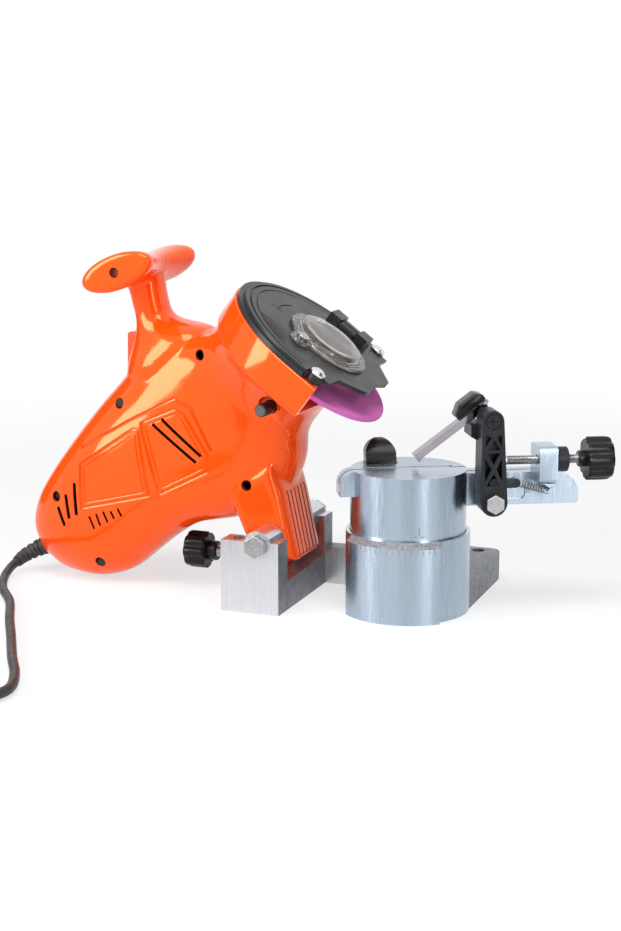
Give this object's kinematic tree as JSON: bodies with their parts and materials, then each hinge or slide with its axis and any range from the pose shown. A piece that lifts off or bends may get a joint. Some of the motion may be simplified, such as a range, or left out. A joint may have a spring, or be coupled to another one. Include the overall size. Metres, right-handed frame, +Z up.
{
  "type": "electric chainsaw sharpener",
  "caption": "Bench chainsaw sharpener with a tilting orange grinder head, pink grinding wheel, swivelling chain vise on a cast base, and mains lead",
  "frame": {"origin": "On the vise swivel axis, at the underside of the base casting.", "axes": "+Z up along the swivel axis, +X to the right along the front of the base towards the stop adjuster, +Y back towards the bolting flange."},
  "size_m": [0.4095, 0.5008, 0.2273],
  "materials": {
    "housing_orange": "moulded plastic shells, smooth and glossy, lightly scuffed",
    "black_plastic": "moulded black plastic, satin",
    "cast_aluminium": "die-cast aluminium, satin where machined, rough on cast ledges",
    "zinc_steel": "zinc-plated steel",
    "bright_steel": "polished or chromed steel",
    "pink_abrasive": "bonded abrasive, gritty and matt",
    "smoked_clear": "see-through smoked plastic",
    "black_rubber": "flexible black cord sheath",
    "grey_steel": "grey steel and laminated iron",
    "copper_wire": "enamelled copper wire",
    "brass_contact": "brass",
    "carbon": "pressed carbon"
  },
  "bodies": {
    "base": {"base_casting": "cast_aluminium", "pivot_bolt": "zinc_steel", "pivot_washer": "zinc_steel", "pivot_nut": "zinc_steel", "depth_lock_nut": "zinc_steel", "cord_lead": "black_rubber", "cord_coil": "black_rubber", "cord_tie": "black_rubber", "plug": "black_rubber"},
    "turntable": {"turntable": "cast_aluminium", "turntable_bolt": "zinc_steel", "turntable_nut": "zinc_steel", "clamp_pin": "zinc_steel", "adjuster_lock_ring": "black_plastic", "stop_bolt": "zinc_steel", "tension_spring": "zinc_steel"},
    "jaw": {"jaw_plate": "zinc_steel"},
    "clamp_lever": {"clamp_lever": "black_plastic"},
    "adjuster_screw": {"adjuster_screw": "zinc_steel"},
    "adjuster_knob": {"adjuster_knob": "black_plastic"},
    "stop_lever": {"stop_lever": "black_plastic", "pawl_pin": "zinc_steel"},
    "pawl": {"stop_pawl": "bright_steel", "pawl_grip": "black_plastic"},
    "depth_screw": {"depth_screw": "zinc_steel"},
    "depth_knob": {"depth_knob": "black_plastic"},
    "head": {"housing_front": "housing_orange", "housing_rear": "housing_orange", "housing_screw_1": "zinc_steel", "housing_screw_2": "zinc_steel", "housing_screw_3": "zinc_steel", "housing_screw_4": "zinc_steel", "wheel_guard": "black_plastic", "guard_bolt_front": "bright_steel", "guard_bolt_rear": "bright_steel", "hinge_block": "black_plastic", "hinge_pin": "zinc_steel", "stator": "grey_steel", "front_bearing": "bright_steel", "rear_bearing": "bright_steel", "brush_holder_front": "brass_contact", "brush_holder_rear": "brass_contact", "carbon_brush_front": "carbon", "carbon_brush_rear": "carbon", "switch_body": "black_plastic", "bend_sleeve": "black_rubber"},
    "rotor": {"spindle": "bright_steel", "inner_flange": "zinc_steel", "grinding_wheel": "pink_abrasive", "outer_flange": "zinc_steel", "wheel_nut": "zinc_steel", "cooling_fan": "black_plastic", "armature_core": "grey_steel", "armature_winding": "copper_wire", "commutator": "brass_contact"},
    "window": {"guard_window": "smoked_clear", "window_screw": "zinc_steel"},
    "trigger": {"trigger": "housing_orange"},
    "lock_button": {"spindle_lock": "grey_steel"}
  },
  "joints": [
    {"name": "head_tilt", "type": "hinge", "parent": "base", "child": "head", "pos_m": [-0.084, 0, 0.045], "axis": [0, 1, 0], "range_deg": [0, 19]},
    {"name": "wheel_spin", "type": "hinge", "parent": "head", "child": "rotor", "pos_m": [-0.064, 0, 0.1545], "axis": [0.6074, 0, 0.7944], "continuous": true},
    {"name": "vise_swivel", "type": "hinge", "parent": "base", "child": "turntable", "pos_m": [0, 0, 0.0164], "axis": [0, 0, 1], "range_deg": [-63, 7]},
    {"name": "cam_clamp", "type": "hinge", "parent": "turntable", "child": "clamp_lever", "pos_m": [-0.02316, 0.01374, 0.084], "axis": [0.8829, 0.4695, 0], "range_deg": [0, 35]},
    {"name": "jaw_slide", "type": "slide", "parent": "turntable", "child": "jaw", "axis": [0.4695, -0.8829, 0], "range_m": [0, 0.0008]},
    {"name": "stop_adjust", "type": "slide", "parent": "turntable", "child": "adjuster_screw", "axis": [0.8829, 0.4695, 0], "range_m": [-0.0015, 0.0015]},
    {"name": "stop_knob_turn", "type": "hinge", "parent": "adjuster_screw", "child": "adjuster_knob", "pos_m": [0.11264, 0.0395, 0.0987], "axis": [0.8829, 0.4695, 0], "range_deg": [-541, 541]},
    {"name": "stop_lever_swing", "type": "hinge", "parent": "turntable", "child": "stop_lever", "pos_m": [0.05233, 0.00744, 0.073], "axis": [-0.4695, 0.8829, 0], "range_deg": [-3.45, 3.45]},
    {"name": "pawl_lift", "type": "hinge", "parent": "stop_lever", "child": "pawl", "pos_m": [0.04106, 0.02183, 0.1275], "axis": [-0.4695, 0.8829, 0], "range_deg": [0, 60]},
    {"name": "depth_adjust", "type": "slide", "parent": "base", "child": "depth_screw", "axis": [1, 0, 0], "range_m": [-0.002, 0]},
    {"name": "depth_knob_turn", "type": "hinge", "parent": "depth_screw", "child": "depth_knob", "pos_m": [-0.147, 0, 0.0255], "axis": [1, 0, 0], "range_deg": [-577, 12]},
    {"name": "window_open", "type": "hinge", "parent": "head", "child": "window", "pos_m": [-0.05351, 0.035, 0.17316], "axis": [-0.7944, 0, 0.6074], "range_deg": [0, 110]},
    {"name": "trigger_press", "type": "slide", "parent": "head", "child": "trigger", "axis": [0.9997, 0, -0.0244], "range_m": [0, 0.0025], "stiffness_N_per_m": 400},
    {"name": "lock_press", "type": "slide", "parent": "head", "child": "lock_button", "axis": [0, 1, 0], "range_m": [0, 0.004], "stiffness_N_per_m": 400}
  ],
  "couplings": [
    {"joint": "cam_clamp", "follows": "jaw_slide", "rad_per_m": 763.5},
    {"joint": "stop_knob_turn", "follows": "stop_adjust", "rad_per_m": 6283.2},
    {"joint": "stop_lever_swing", "follows": "stop_adjust", "rad_per_m": 38.9},
    {"joint": "depth_knob_turn", "follows": "depth_adjust", "rad_per_m": 5026.5}
  ]
}
